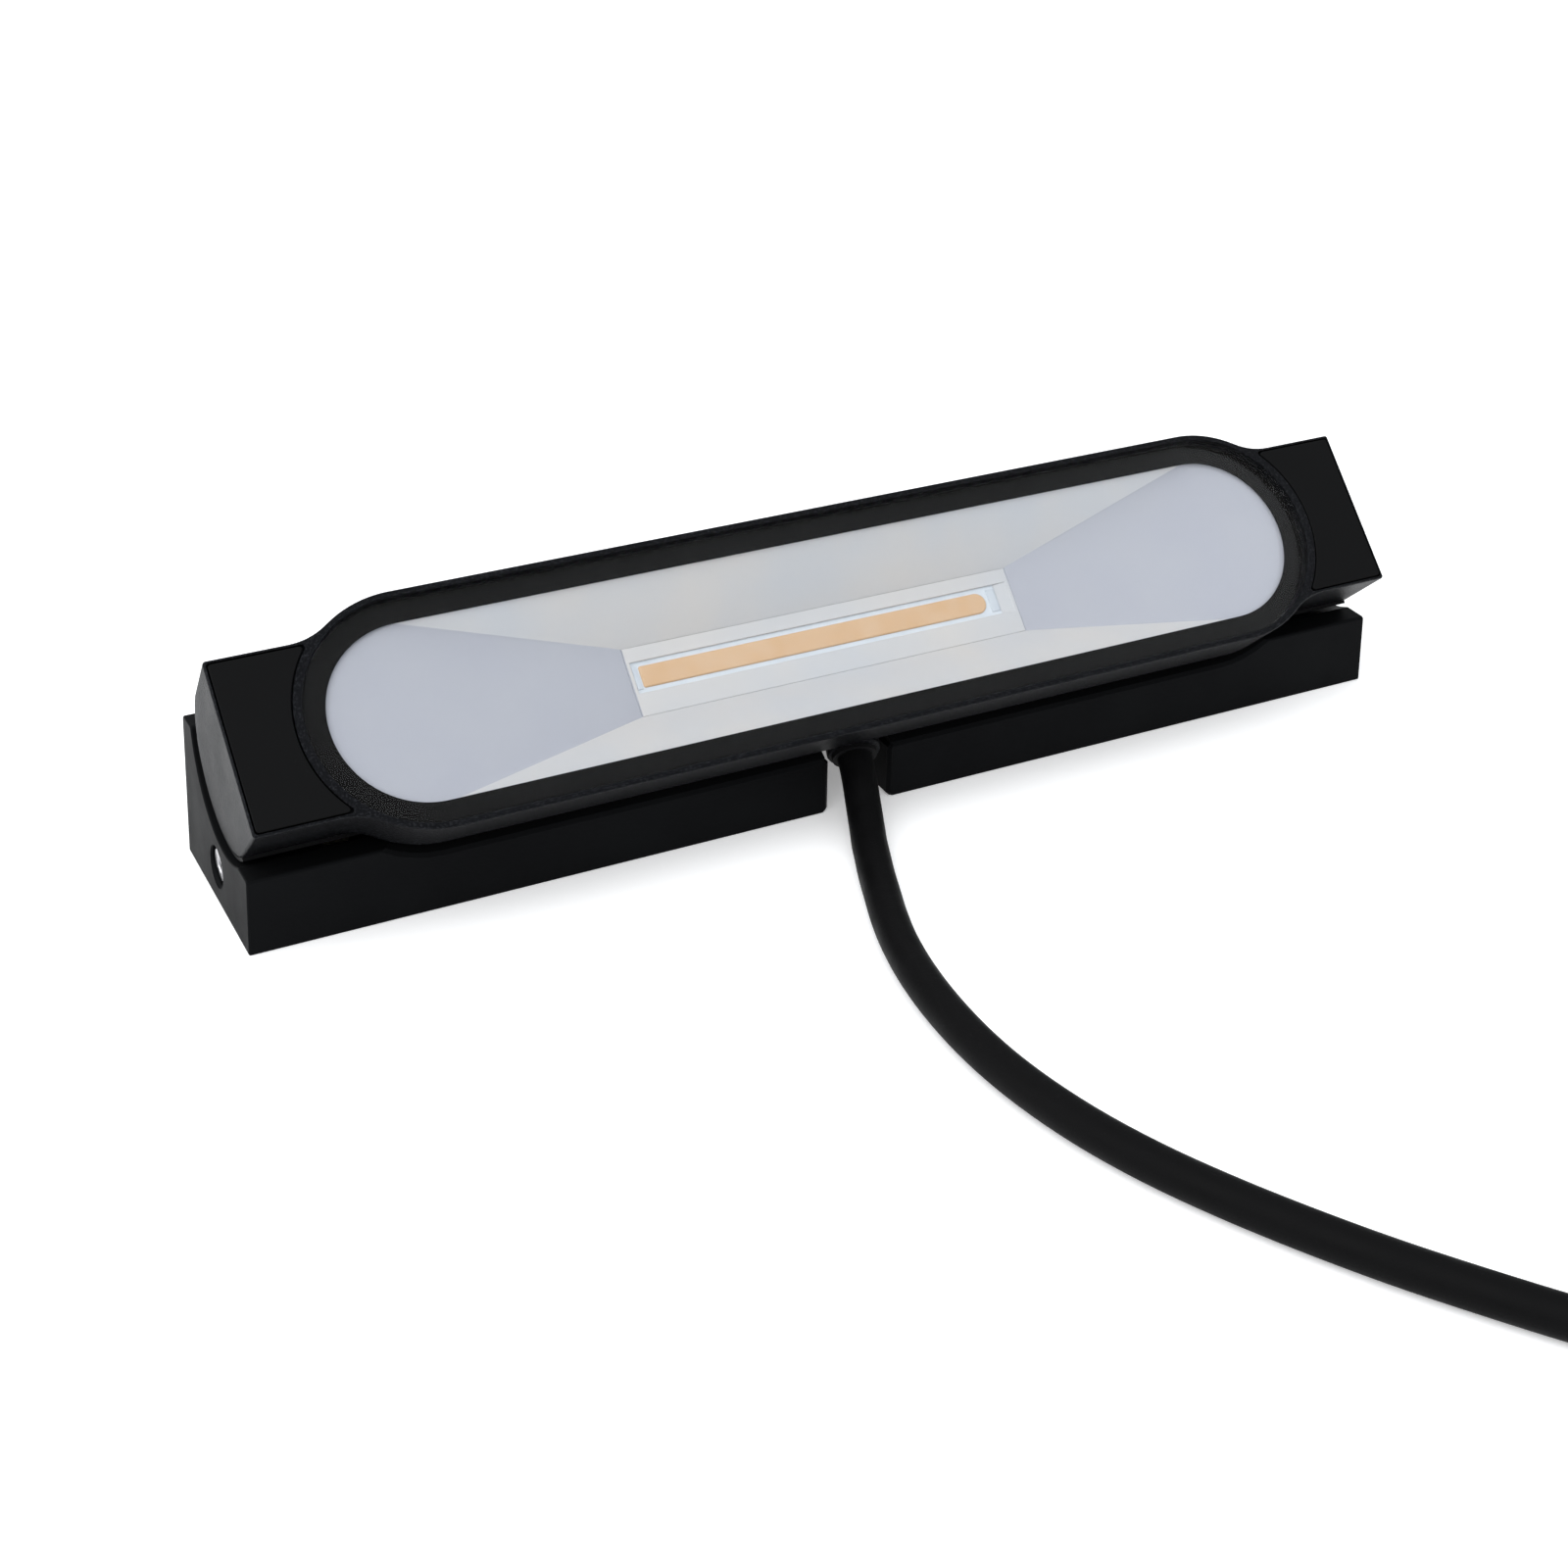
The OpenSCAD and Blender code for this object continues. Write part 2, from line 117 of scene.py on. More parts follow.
def set_camera():
    """The photo's camera."""
    turn, rise = math.radians(CAMERA_TURN), math.radians(CAMERA_RISE)
    roll = math.radians(CAMERA_ROLL)
    back = Vector((math.sin(turn) * math.cos(rise), -math.cos(turn) * math.cos(rise),
                   math.sin(rise)))
    side = Vector((math.cos(turn), math.sin(turn), 0))
    up = back.cross(side)
    x_axis = side * math.cos(roll) + up * math.sin(roll)
    y_axis = up * math.cos(roll) - side * math.sin(roll)
    data = bpy.data.cameras.new("camera")
    data.sensor_width = SENSOR_WIDTH
    data.lens = CAMERA_LENS
    data.clip_start = 0.01
    camera = bpy.data.objects.new("camera", data)
    turned = Matrix((x_axis, y_axis, back)).transposed().to_4x4()
    camera.matrix_world = Matrix.Translation(CAMERA_PLACE) @ turned
    scene.collection.objects.link(camera)
    scene.camera = camera


# ---- mesh helpers ----

def add_mesh(name, points, faces, place=Matrix(), scale=MM):
    """A new mesh object, placed in millimetres and scaled to metres, its faces turned outwards."""
    mesh = bpy.data.meshes.new(name)
    mesh.from_pydata([(place @ Vector(p)) * scale for p in points], [], faces)
    work = bmesh.new()
    work.from_mesh(mesh)
    bmesh.ops.recalc_face_normals(work, faces=work.faces)
    work.to_mesh(mesh)
    work.free()
    obj = bpy.data.objects.new(name, mesh)
    scene.collection.objects.link(obj)
    return obj


def loft(name, rings, place=Matrix(), scale=MM, closed=False):
    """A skin over rings of equally many points: capped at both ends, or closed into a loop."""
    count = len(rings[0])
    points = [p for ring in rings for p in ring]
    faces = []
    for i in range(len(rings) if closed else len(rings) - 1):
        a, b = i * count, (i + 1) % len(rings) * count
        for k in range(count):
            n = (k + 1) % count
            faces.append((a + k, a + n, b + n, b + k))
    if not closed:
        faces.append(tuple(range(count)))
        faces.append(tuple(range(len(points) - count, len(points))))
    return add_mesh(name, points, faces, place, scale)


def arc(cx, cy, r, a0, a1, steps):
    """Points on an arc, its angles in degrees."""
    found = []
    for i in range(steps + 1):
        a = math.radians(a0 + (a1 - a0) * i / steps)
        found.append((cx + r * math.cos(a), cy + r * math.sin(a)))
    return found


def stadium(r, steps=24):
    """A long outline with round ends, about the ring's two centres."""
    return arc(RING_HALF, 0, r, -90, 90, steps) + arc(-RING_HALF, 0, r, 90, 270, steps)


def inset(loop, distance):
    """A counter-clockwise loop moved inwards by a distance."""
    moved = []
    for i, p in enumerate(loop):
        before, after = Vector(loop[i - 1]), Vector(loop[(i + 1) % len(loop)])
        here = Vector(p)
        a, b = (here - before).normalized(), (after - here).normalized()
        na, nb = Vector((-a.y, a.x)), Vector((-b.y, b.x))
        half = (na + nb).normalized()
        moved.append(tuple(here + half * distance / max(half.dot(na), 0.3)))
    return moved


def round_corners(loop, steps=5):
    """Corners given as (x, y, radius) become arcs; points given as (x, y) stay."""
    found = []
    for i, corner in enumerate(loop):
        here = Vector(corner[:2])
        if len(corner) == 2:
            found.append(tuple(here))
            continue
        before = (Vector(loop[i - 1][:2]) - here).normalized()
        after = (Vector(loop[(i + 1) % len(loop)][:2]) - here).normalized()
        half = before.angle(after) / 2
        centre = here + (before + after).normalized() * corner[2] / math.sin(half)
        start = here + before * corner[2] / math.tan(half) - centre
        turn = before.angle_signed(after)
        sweep = math.copysign(math.pi - 2 * half, turn)
        for k in range(steps + 1):
            a = sweep * k / steps
            found.append((centre.x + start.x * math.cos(a) - start.y * math.sin(a),
                          centre.y + start.x * math.sin(a) + start.y * math.cos(a)))
    return found


def slab(name, loop, z0, z1, place=Matrix(), edge=0.0, low_edge=0.0, steps=3):
    """A flat plate of an outline, with its upper and lower edges rounded."""
    rings = []
    for z, r, way in ((z0, low_edge, -1), (z1, edge, 1)):
        turns = range(steps + 1) if r else [0]
        part = []
        for i in turns:
            a = math.radians(90 * i / steps)
            level = z - way * r * (1 - math.sin(a))
            part.append([(x, y, level) for x, y in inset(loop, r * (1 - math.cos(a)))])
        rings += part[::-1] if way < 0 else part
    return loft(name, rings, place)


def lathe(name, profile, place=Matrix(), steps=48, ripple=None):
    """A turned shape about Z from (radius, height) pairs. ripple(step, radius) changes a radius."""
    rings = []
    for r, z in profile:
        ring = []
        for k in range(steps):
            a = 2 * math.pi * k / steps
            radius = ripple(k, r) if ripple else r
            ring.append((radius * math.cos(a), radius * math.sin(a), z))
        rings.append(ring)
    return loft(name, rings, place)


def tube(name, path, radius, sides=20):
    """A round tube that follows points in metres, without twist."""
    points = [Vector(p) for p in path]
    rings = []
    normal = Vector((0, 0, 1))
    for i, p in enumerate(points):
        ahead = points[min(i + 1, len(points) - 1)] - points[max(i - 1, 0)]
        ahead.normalize()
        normal = (normal - ahead * normal.dot(ahead)).normalized()
        other = ahead.cross(normal)
        rings.append([p + radius * (math.cos(a) * normal + math.sin(a) * other)
                      for a in (2 * math.pi * k / sides for k in range(sides))])
    return loft(name, rings, scale=1)


def smooth_path(points, steps):
    """A smooth curve through points, as more points."""
    points = [Vector(p) for p in points]
    ends = [points[0] * 2 - points[1]] + points + [points[-1] * 2 - points[-2]]
    found = []
    for i in range(1, len(ends) - 2):
        a, b, c, d = ends[i - 1:i + 3]
        for k in range(steps):
            t = k / steps
            found.append(0.5 * (2 * b + (c - a) * t + (2 * a - 5 * b + 4 * c - d) * t**2
                                + (3 * b - a - 3 * c + d) * t**3))
    return found + [points[-1]]


def settle(obj):
    """Puts the result of an object's modifiers into its mesh."""
    graph = bpy.context.evaluated_depsgraph_get()
    mesh = bpy.data.meshes.new_from_object(obj.evaluated_get(graph))
    obj.modifiers.clear()
    obj.data = mesh


def combine(obj, other, operation):
    """Cuts another object out of obj or joins it on, and removes the other object."""
    change = obj.modifiers.new("combine", "BOOLEAN")
    change.operation = operation
    change.solver = "EXACT"
    change.object = other
    settle(obj)
    bpy.data.objects.remove(other)


def clean(obj):
    """Merges points that coincide and joins flat neighbouring faces, after the cuts."""
    work = bmesh.new()
    work.from_mesh(obj.data)
    bmesh.ops.remove_doubles(work, verts=work.verts, dist=0.000002)
    bmesh.ops.dissolve_limit(work, angle_limit=math.radians(0.5), verts=work.verts,
                             edges=work.edges)
    work.to_mesh(obj.data)
    work.free()


def shade(obj, angle):
    """Smooth shading, with edges over an angle in degrees left sharp."""
    for polygon in obj.data.polygons:
        polygon.use_smooth = True
    obj.data.set_sharp_from_angle(angle=math.radians(angle))
    weigh = obj.modifiers.new("normals", "WEIGHTED_NORMAL")
    weigh.keep_sharp = True
    weigh.weight = 90


def dress(obj, body, material, slot, *replaced, angle=40):
    """Shades a finished piece, gives it its material, and hides what it replaces.
    """
    shade(obj, angle)
    obj.data.materials.clear()
    obj.data.materials.append(material)
    if body:
        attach(obj, body)
    if replaced:
        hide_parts(*replaced)
    return obj


# ---- materials ----

class Paint:
    """A procedural material: colour, roughness and relief, each varied by noise of a real size."""

    def __init__(self, name, color, rough, specular=0.5, metallic=0.0, gloss=(1, 1, 1)):
        self.material = bpy.data.materials.new(name)
        self.material.use_nodes = True
        self.tree = self.material.node_tree
        self.shader = self.tree.nodes["Principled BSDF"]
        self.shader.inputs["Specular IOR Level"].default_value = specular
        self.shader.inputs["Specular Tint"].default_value = (*gloss, 1)
        self.shader.inputs["Metallic"].default_value = metallic
        self.place = self.add("ShaderNodeTexCoord").outputs["Object"]
        self.color = (*color, 1)
        self.shader.inputs["Base Color"].default_value = self.color
        self.rough = rough
        self.shader.inputs["Roughness"].default_value = rough
        self.normal = None

    def add(self, kind, **values):
        node = self.tree.nodes.new(kind)
        for key, value in values.items():
            setattr(node, key, value)
        return node

    def link(self, a, b):
        self.tree.links.new(a, b)

    def noise(self, size, detail=3.0, stretch=(1, 1, 1)):
        """Noise whose grains are about size millimetres across, drawn out where stretch is small."""
        node = self.add("ShaderNodeTexNoise")
        node.inputs["Scale"].default_value = 1 / (size * MM)
        node.inputs["Detail"].default_value = detail
        mapping = self.add("ShaderNodeMapping")
        mapping.inputs["Scale"].default_value = stretch
        self.link(self.place, mapping.inputs["Vector"])
        self.link(mapping.outputs["Vector"], node.inputs["Vector"])
        return node.outputs["Fac"]

    def spread(self, value, low, high, start=0.3, end=0.7):
        """Maps a value's range from start to end onto low to high."""
        node = self.add("ShaderNodeMapRange")
        node.inputs["From Min"].default_value = start
        node.inputs["From Max"].default_value = end
        node.inputs["To Min"].default_value = low
        node.inputs["To Max"].default_value = high
        self.link(value, node.inputs["Value"])
        return node.outputs["Result"]

    def current_color(self):
        socket = self.shader.inputs["Base Color"]
        return socket.links[0].from_socket if socket.is_linked else None

    def tint(self, value, color):
        """Mixes a second colour in, by a value from 0 to 1."""
        mix = self.add("ShaderNodeMix", data_type="RGBA")
        before = self.current_color()
        if before:
            self.link(before, mix.inputs["A"])
        else:
            mix.inputs["A"].default_value = self.color
        mix.inputs["B"].default_value = (*color, 1)
        self.link(value, mix.inputs["Factor"])
        self.link(mix.outputs["Result"], self.shader.inputs["Base Color"])
        return self

    def vary(self, size, color, rough_change=0.06):
        """Colour drifts towards a second one, and roughness with it, in patches of a size."""
        value = self.noise(size, 4)
        self.tint(self.spread(value, 0, 1), color)
        self.link(self.spread(value, self.rough - rough_change, self.rough + rough_change),
                  self.shader.inputs["Roughness"])
        return self

    def relief(self, value, height):
        """Bumps of a height in millimetres."""
        bump = self.add("ShaderNodeBump")
        bump.inputs["Distance"].default_value = height * MM
        self.link(value, bump.inputs["Height"])
        if self.normal:
            self.link(self.normal, bump.inputs["Normal"])
        self.normal = bump.outputs["Normal"]
        self.link(self.normal, self.shader.inputs["Normal"])
        return self

    def grain(self, size, height, stretch=(1, 1, 1)):
        """Relief from noise of a size, both in millimetres."""
        return self.relief(self.noise(size, stretch=stretch), height)

    def speckle(self, size, color):
        """Small grains of another colour, as powder coat has."""
        return self.tint(self.spread(self.noise(size, 2), 0, 1, 0.52, 0.68), color)

    def edge_wear_and_highlight(self, color, width=0.35, share=0.5):
        """Edges lightened to another colour: partly rubbed wear, partly a painted highlight along the
        rims.
        """
        soft = self.add("ShaderNodeBevel", samples=4)
        soft.inputs["Radius"].default_value = width * MM
        plain = self.add("ShaderNodeNewGeometry")
        dot = self.add("ShaderNodeVectorMath", operation="DOT_PRODUCT")
        self.link(soft.outputs["Normal"], dot.inputs[0])
        self.link(plain.outputs["Normal"], dot.inputs[1])
        edge = self.spread(dot.outputs["Value"], share, 0, 0.9, 0.995)
        wear_and_highlight = self.add("ShaderNodeMath", operation="MULTIPLY")
        self.link(edge, wear_and_highlight.inputs[0])
        self.link(self.spread(self.noise(1.6), 0, 1, 0.4, 0.65), wear_and_highlight.inputs[1])
        return self.tint(wear_and_highlight.outputs["Value"], color)

    def wave(self, size, axis, distortion):
        """Bands about size millimetres wide. At scale 1 a wave repeats every 2 pi / 20."""
        node = self.add("ShaderNodeTexWave", wave_type="BANDS", bands_direction=axis)
        node.inputs["Scale"].default_value = math.pi / (20 * size * MM)
        node.inputs["Distortion"].default_value = distortion
        self.link(self.place, node.inputs["Vector"])
        return node.outputs["Fac"]


def painted(name, color, rough, other, patch=9, grain=0.3, height=0.02, **more):
    """A plain finish: one drift to another colour and one grain."""
    return Paint(name, color, rough, **more).vary(patch, other).grain(grain, height)


cast_black = Paint("cast_black", (0.003, 0.0031, 0.0037), 0.4, specular=0.074,
                   gloss=(0.82, 0.88, 1))
cast_black.vary(14, (0.0022, 0.0023, 0.0027)).grain(0.55, 0.14).grain(0.24, 0.06)
# its edges lightened: partly rubbed wear, partly a painted highlight on the rims
cast_black.speckle(0.4, (0.015, 0.0155, 0.0175)).edge_wear_and_highlight((0.011, 0.0115, 0.0125), share=0.4)
base_black = Paint("base_black", (0.005, 0.0053, 0.0056), 0.46, specular=0.025,
                   gloss=(0.84, 0.9, 1))
base_black.vary(18, (0.004, 0.0041, 0.0044)).grain(0.3, 0.012).grain(1.4, 0.012)
# its edges lightened: partly rubbed wear, partly a painted highlight on the rims
base_black.edge_wear_and_highlight((0.011, 0.0115, 0.0125))
cover_black = Paint("cover_black", (0.003, 0.0031, 0.0034), 0.4, specular=0.065)
cover_black.vary(11, (0.0028, 0.0029, 0.0031)).grain(0.2, 0.006)
border_black = painted("border_black", (0.0052, 0.005, 0.0049), 0.55, (0.0044, 0.0042, 0.0041),
                       patch=20, grain=0.5, height=0.0005, specular=0.04)
rubber = painted("rubber", (0.005, 0.005, 0.0054), 0.62, (0.0036, 0.0036, 0.004), grain=0.4,
                 height=0.012, specular=0.12)
cord_rubber = Paint("cord_rubber", (0.002, 0.002, 0.0022), 0.56, specular=0.06)
cord_rubber.vary(7, (0.003, 0.003, 0.0033), 0.08).grain(0.5, 0.03).grain(3.5, 0.03)
liner_black = painted("liner_black", (0.005, 0.005, 0.0054), 0.5, (0.0036, 0.0036, 0.004),
                      height=0.008, specular=0.06)
# the reflector's walls: a lighter copy of its white, painted light
wall_white_painted_light = Paint("wall_white_painted_light", (0.58, 0.585, 0.61), 0.42, specular=0.4, metallic=0.2)
# drifts to a warmer white in patches: painted reflection of the orange strip
wall_white_painted_light.vary(30, (0.66, 0.62, 0.59), 0.02).grain(0.7, 0.001)
# the reflector's fans: a darker, bluer copy of the same white, painted shade
fan_white_painted_shade = Paint("fan_white_painted_shade", (0.43, 0.43, 0.48), 0.45, specular=0.4)
fan_white_painted_shade.vary(16, (0.45, 0.45, 0.49), 0.03).grain(0.7, 0.002)
board_white = painted("board_white", (0.72, 0.75, 0.79), 0.4, (0.66, 0.7, 0.75), patch=4,
                      grain=0.25, height=0.004)
phosphor = Paint("phosphor", (0.66, 0.42, 0.24), 0.45, specular=0.4)
phosphor.vary(5, (0.69, 0.47, 0.3), 0.05).grain(0.18, 0.01)
tin = painted("tin", (0.66, 0.69, 0.73), 0.42, (0.6, 0.63, 0.68), patch=2, grain=0.3,
              height=0.004, metallic=0.5)
steel = painted("steel", (0.62, 0.62, 0.63), 0.24, (0.5, 0.5, 0.52), patch=1.5, grain=0.15,
                height=0.003, metallic=1.0)
zinc = Paint("zinc", (0.5, 0.51, 0.52), 0.38, metallic=1.0)
zinc.vary(6, (0.4, 0.42, 0.45), 0.1).grain(0.6, 0.006).grain(2.2, 0.006, (0.06, 1, 1))
rail_steel = Paint("rail_steel", (0.42, 0.43, 0.44), 0.35, metallic=1.0)
rail_steel.vary(3, (0.34, 0.35, 0.37), 0.08).grain(0.5, 0.006, (1, 0.1, 0.1))
aluminium = Paint("aluminium", (0.66, 0.67, 0.68), 0.36, metallic=1.0)
aluminium.vary(8, (0.56, 0.57, 0.59), 0.08).grain(0.7, 0.006, (0.04, 1, 1))
acetal = painted("acetal", (0.62, 0.58, 0.48), 0.5, (0.56, 0.51, 0.4), height=0.01)
pad_grey = painted("pad_grey", (0.34, 0.39, 0.43), 0.8, (0.28, 0.33, 0.37), height=0.02)
circuit_green = Paint("circuit_green", (0.012, 0.09, 0.03), 0.35)
circuit_green.vary(2.5, (0.02, 0.13, 0.045), 0.05).grain(0.6, 0.01)
copper = Paint("copper", (0.55, 0.22, 0.09), 0.35, metallic=0.8)
copper.vary(2, (0.42, 0.15, 0.06), 0.08).relief(copper.wave(0.5, "Z", 0.4), 0.12)
sleeve = painted("sleeve", (0.03, 0.034, 0.045), 0.4, (0.02, 0.023, 0.03), height=0.01)
epoxy = painted("epoxy", (0.014, 0.014, 0.015), 0.6, (0.009, 0.009, 0.01), height=0.015)
lead_red = painted("lead_red", (0.4, 0.035, 0.022), 0.45, (0.3, 0.02, 0.015), height=0.01)
brass = painted("brass", (0.66, 0.47, 0.2), 0.28, (0.52, 0.36, 0.14), patch=1, grain=0.2,
                height=0.004, metallic=1.0)
plug_black = Paint("plug_black", (0.011, 0.011, 0.012), 0.45)
plug_black.vary(5, (0.008, 0.008, 0.009), 0.08).grain(0.25, 0.012)
strap = Paint("strap", (0.008, 0.008, 0.009), 0.85, specular=0.2)
strap.shader.inputs["Sheen Weight"].default_value = 0.3
strap.shader.inputs["Sheen Roughness"].default_value = 0.5
strap.vary(2.4, (0.016, 0.016, 0.018), 0.05).relief(strap.wave(0.5, "Z", 1.5), 0.1)
strap.relief(strap.wave(0.5, "DIAGONAL", 1.0), 0.06)


def make_glass():
    """Clear flat glass: straight through, with a weak mirror reflection that grows at an angle."""
    paint = Paint("clear_glass", (0, 0, 0), 0.03, specular=1.0)
    clear = paint.add("ShaderNodeBsdfTransparent")
    clear.inputs["Color"].default_value = (0.965, 0.975, 0.98, 1)
    fresnel = paint.add("ShaderNodeFresnel")
    fresnel.inputs["IOR"].default_value = 1.5
    smear = paint.spread(paint.noise(30), 0.09, 0.12)
    share = paint.add("ShaderNodeMath", operation="MULTIPLY")
    paint.link(fresnel.outputs["Fac"], share.inputs[0])
    paint.link(smear, share.inputs[1])
    paint.shader.inputs["Base Color"].default_value = (1, 1, 1, 1)
    paint.shader.inputs["Metallic"].default_value = 1.0
    mix = paint.add("ShaderNodeMixShader")
    paint.link(share.outputs["Value"], mix.inputs["Fac"])
    paint.link(clear.outputs["BSDF"], mix.inputs[1])
    paint.link(paint.shader.outputs["BSDF"], mix.inputs[2])
    output = paint.tree.nodes["Material Output"]
    paint.link(mix.outputs["Shader"], output.inputs["Surface"])
    return paint.material


# ---- cord, coil and connector ----

CORD_ROUTE = [(-0.0033, -0.0282, 0.0063), (-0.0047, -0.032, 0.0048), (-0.0062, -0.0358, 0.0039),
              (-0.0079, -0.0398, 0.0035), (-0.0097, -0.0444, 0.0035), (-0.0119, -0.05, 0.0035),
              (-0.0144, -0.057, 0.0035), (-0.017, -0.0645, 0.0035), (-0.0194, -0.073, 0.0035),
              (-0.0213, -0.083, 0.0035), (-0.0224, -0.0945, 0.0035), (-0.0224, -0.107, 0.0035),
              (-0.021, -0.1195, 0.0035), (-0.018, -0.1325, 0.0035), (-0.0136, -0.145, 0.0035),
              (-0.008, -0.157, 0.0035), (-0.0014, -0.169, 0.0035), (0.006, -0.181, 0.0035),
              (0.014, -0.1925, 0.0035), (0.0226, -0.204, 0.0035), (0.0324, -0.2158, 0.0035),
              (0.0428, -0.2278, 0.0035)]
TAIL_ROUTE = [(0.1256, -0.2198, 0.0072), (0.127, -0.21, 0.0075), (0.1271, -0.2, 0.0078),
              (0.126, -0.19, 0.008), (0.124, -0.18, 0.008), (0.1214, -0.17, 0.008)]
PLUG_PLACE, PLUG_TURN = (121.4, -170, 8), math.radians(105.6)
TIE_TURN = math.radians(130)


def coil_points():
    """The coil: turns that wind round a ring-shaped bundle, in metres."""
    count = round(COIL_TURNS * 40)
    found = []
    for i in range(count + 1):
        turns = COIL_TURNS * i / count
        around = math.radians(COIL_START + 360 * turns)
        tilt = math.radians(-90 - COIL_STEP * turns)
        radius = COIL_R + BUNDLE_R * math.cos(tilt)
        found.append((COIL_CENTRE[0] + radius * math.cos(around),
                      COIL_CENTRE[1] + radius * math.sin(around),
                      CORD_R + BUNDLE_R * (1 + math.sin(tilt))))
    return found


def make_cord():
    """The cord, the points it follows and the place where it leaves the boss."""
    way = (BOSS.to_3x3() @ Vector((0, -1, 0))).normalized()
    start = BOSS @ Vector((0, -0.9, 0)) * MM
    run = smooth_path([start, start + 0.0045 * way] + CORD_ROUTE, 4)
    coil = coil_points()
    joined = smooth_path(run[-8::4] + coil[:8:4], 4)
    path = run[:-8] + joined[:-4] + coil[4:] + smooth_path([coil[-1]] + TAIL_ROUTE, 4)[1:]
    path = [(p[0], p[1], max(p[2], CORD_R)) for p in path]
    cord = tube("cord_lead", path, CORD_R)
    dress(cord, None, cord_rubber.material, "cord_rubber", "cord", "cord_coil", "cord_tail")
    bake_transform(cord)
    return cord, path, start


def ribs(k, r):
    """Grooves in the nut's grip: two steps in four lie deeper."""
    return r - (0.4 if k % 4 in (2, 3) and r > 7.8 else 0)


def make_connector():
    """The two-pole plug: a ribbed shell and its turning nut, with the CAD's pins inside."""
    plug = Matrix.Translation(PLUG_PLACE) @ Matrix.Rotation(PLUG_TURN, 4, "Z") \
        @ Matrix.Rotation(math.radians(90), 4, "Y")
    profile = [(3.5, 0), (4.3, 0), (4.6, 0.4)]
    for i in range(5):
        z = 1.6 + i * 2.3
        r = 4.65 + 0.1 * z
        profile += [(r, z - 0.35), (r - 0.75, z), (r - 0.75, z + 0.75), (r + 0.06, z + 1.1)]
    profile += [(5.95, 13.6), (6, 14), (6, 34), (5.6, 34), (5.4, 33.8), (5.4, 31), (0.6, 31)]
    shell = lathe("connector_shell", profile, plug)
    dress(shell, "base", plug_black.material, "connector_plastic", "connector_body", angle=30)
    grip = [(6.1, 22.1), (7.4, 22.1), (7.6, 22.4), (7.9, 23.2), (7.9, 37.6), (7.7, 38.4),
            (7.6, 39.6), (7.3, 40), (6.75, 40), (6.6, 39.7), (6.6, 33), (6.1, 33)]
    nut = lathe("connector_ring", grip + grip[:1], plug, steps=96, ripple=ribs)
    dress(nut, "base", plug_black.material, "connector_plastic", "connector_nut", angle=30)
    return [shell, nut, nodes["connector_pins"]]


def make_tie():
    """The strap round the coil's bundle, its last stretch laid over its first."""
    place = Matrix.Translation((*(c / MM for c in COIL_CENTRE), 0)) \
        @ Matrix.Rotation(TIE_TURN, 4, "Z") \
        @ Matrix.Translation((COIL_R / MM, 0, (CORD_R + BUNDLE_R) / MM))
    rings = []
    for i in range(49):
        a = math.radians(-62 + 304 * i / 48)
        over = 0.35 if i > 36 else 0
        section = [(11.62, -3), (11.62, 3), (12.1 + over / 2, 3), (12.2 + over, 2.6),
                   (12.2 + over, -2.6), (12.1 + over / 2, -3)]
        rings.append([(r * math.cos(a), y, r * math.sin(a)) for r, y in section])
    band = loft("coil_strap", rings, place)
    return dress(band, "base", strap.material, "tie_plastic", "coil_tie", angle=50)


# ---- base ----

def prism(name, profile, x0, x1, draft=0.0, edge=0.0, steps=4):
    """A (Y, Z) outline pushed along X, its ends leaning in towards the top and their rims rounded."""
    turns = [math.radians(90 * i / steps) for i in range(steps + 1)] if edge else [0]
    rings = []
    for x, way, order in ((x0, -1, turns[::-1]), (x1, 1, turns)):
        for a in order:
            end = x - way * edge * (1 - math.sin(a))
            rings.append([(end - way * draft * z, y, z)
                          for y, z in inset(profile, edge * (1 - math.cos(a)))])
    return loft(name, rings)


def circle_side(r, z, way):
    """Y where the cradle's circle of radius r passes height z."""
    return CRADLE_Y + way * math.sqrt(r**2 - (CRADLE_Z - z) ** 2)


def cradle_arc(r, y0, z0, y1, z1, steps):
    """Points on the cradle's circle from one place through the bottom to another."""
    a0 = math.degrees(math.atan2(z0 - CRADLE_Z, y0 - CRADLE_Y))
    a1 = math.degrees(math.atan2(z1 - CRADLE_Z, y1 - CRADLE_Y))
    if a0 > 0:
        a0 -= 360
    return arc(CRADLE_Y, CRADLE_Z, r, a0, a1, steps)


def cavity_profile(front):
    """The hollow under the cradle, a wall's thickness inside the outline, from a front limit."""
    inner_r = CRADLE_R + BASE_WALL
    back = BASE_BACK - BASE_WALL
    low = RECESS_HEIGHT - BASE_WALL
    if front < 0:
        start = (CRADLE_Y, CRADLE_Z - inner_r)
        first = [(front, -1), (front, low), (CRADLE_Y, low)]
    else:
        start = (front, CRADLE_Z - math.sqrt(inner_r**2 - (front - CRADLE_Y) ** 2))
        first = [(front, -1)]
    end = (circle_side(inner_r, CAVITY_TOP, 1), CAVITY_TOP)
    return first + cradle_arc(inner_r, *start, *end, 24) + [(back, CAVITY_TOP), (back, -1)]


def curved_slot(r0, r1, a0, a1):
    """A (Y, Z) outline between two radii about the tilt axis, its angles from straight down."""
    return arc(PIVOT.y, PIVOT.z, r0, a0 - 90, a1 - 90, 11) \
        + arc(PIVOT.y, PIVOT.z, r1, a1 - 90, a0 - 90, 11)


def recess_cutter(edge=0.5):
    """What the ring's recess takes out of the front wall, its mouth widened to round the edge."""
    levels = [(BASE_FRONT - 2, edge)]
    levels += [(BASE_FRONT + edge * math.sin(a), edge * (1 - math.sin(a)))
               for a in (math.radians(18 * i) for i in range(6))]
    levels += [(-9, 0)]
    tall = 1 / math.cos(RECESS_RISE)
    rings = []
    for y, wider in levels:
        middle = RECESS_HEIGHT + RING_R * tall + math.tan(RECESS_RISE) * (y - BASE_FRONT)
        rings.append([(x, y, middle + z * tall) for x, z in stadium(RING_R + wider)])
    return loft("cut", rings)


